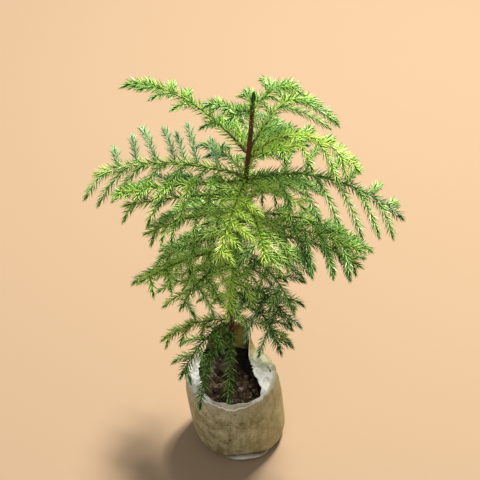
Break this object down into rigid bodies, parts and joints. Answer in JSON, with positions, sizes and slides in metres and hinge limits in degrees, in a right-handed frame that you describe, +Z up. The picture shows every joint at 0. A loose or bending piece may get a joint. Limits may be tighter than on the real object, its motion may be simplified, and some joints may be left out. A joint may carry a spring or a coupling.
{
  "type": "norfolk island pine",
  "caption": "Young Norfolk Island pine with tiers of drooping needle-covered boughs, standing in a soil-filled plastic nursery grow bag.",
  "frame": {"origin": "middle of the grow bag's flat underside", "axes": "+Z up along the trunk, +X to the right of the picture's view, -Y towards the camera"},
  "size_m": [0.2875, 0.2096, 0.4233],
  "materials": {
    "needles": "soft awl-shaped green needles, satin",
    "bough_bark": "green-brown young bark, matt",
    "trunk_bark": "reddish-brown ringed bark, matt",
    "bud": "closed dark green bud, satin",
    "film": "dusty translucent polythene film, creased",
    "soil": "lumpy potting soil, dull"
  },
  "bodies": {
    "root": {"bough_whorl2_back_right": "bough_bark", "bough_whorl2_left": "bough_bark", "bough_whorl2_right": "bough_bark", "bough_whorl3_back": "bough_bark", "bough_whorl3_front_left": "bough_bark", "bough_whorl3_left": "bough_bark", "bough_whorl3_right": "bough_bark", "bough_whorl4_back": "bough_bark", "bough_whorl4_front_right": "bough_bark", "bough_whorl4_left": "bough_bark", "bough_whorl4_right": "bough_bark", "bough_whorl5_back": "bough_bark", "bough_whorl5_front_left": "bough_bark", "bough_whorl5_right": "bough_bark", "bough_whorl7_front_long": "bough_bark", "foliage_whorl1_back_left": "needles", "foliage_whorl1_back_right": "needles", "foliage_whorl1_front_left": "needles", "foliage_whorl1_left": "needles", "foliage_whorl2_back_left": "needles", "foliage_whorl2_back_right": "needles", "foliage_whorl2_front_right": "needles", "foliage_whorl2_left": "needles", "foliage_whorl2_right": "needles", "foliage_whorl3_back": "needles", "foliage_whorl3_back_left": "needles", "foliage_whorl3_front": "needles", "foliage_whorl3_front_left": "needles", "foliage_whorl3_front_right": "needles", "foliage_whorl3_left": "needles", "foliage_whorl3_right": "needles", "foliage_whorl4_back": "needles", "foliage_whorl4_front": "needles", "foliage_whorl4_front_left": "needles", "foliage_whorl4_front_right": "needles", "foliage_whorl4_left": "needles", "foliage_whorl4_right": "needles", "foliage_whorl5_back": "needles", "foliage_whorl5_front": "needles", "foliage_whorl5_front_left": "needles", "foliage_whorl5_front_right": "needles", "foliage_whorl5_left": "needles", "foliage_whorl5_right": "needles", "foliage_whorl6_back_left": "needles", "foliage_whorl6_back_right": "needles", "foliage_whorl6_front_left": "needles", "foliage_whorl6_front_right": "needles", "foliage_whorl6_right": "needles", "foliage_whorl7_back": "needles", "foliage_whorl7_back_left": "needles", "foliage_whorl7_front": "needles", "foliage_whorl7_front_left": "needles", "foliage_whorl7_front_long": "needles", "foliage_whorl7_left": "needles", "foliage_whorl7_right": "needles", "grow_bag": "film", "soil": "soil", "terminal_bud": "bud", "trunk": "trunk_bark"}
  },
  "joints": []
}
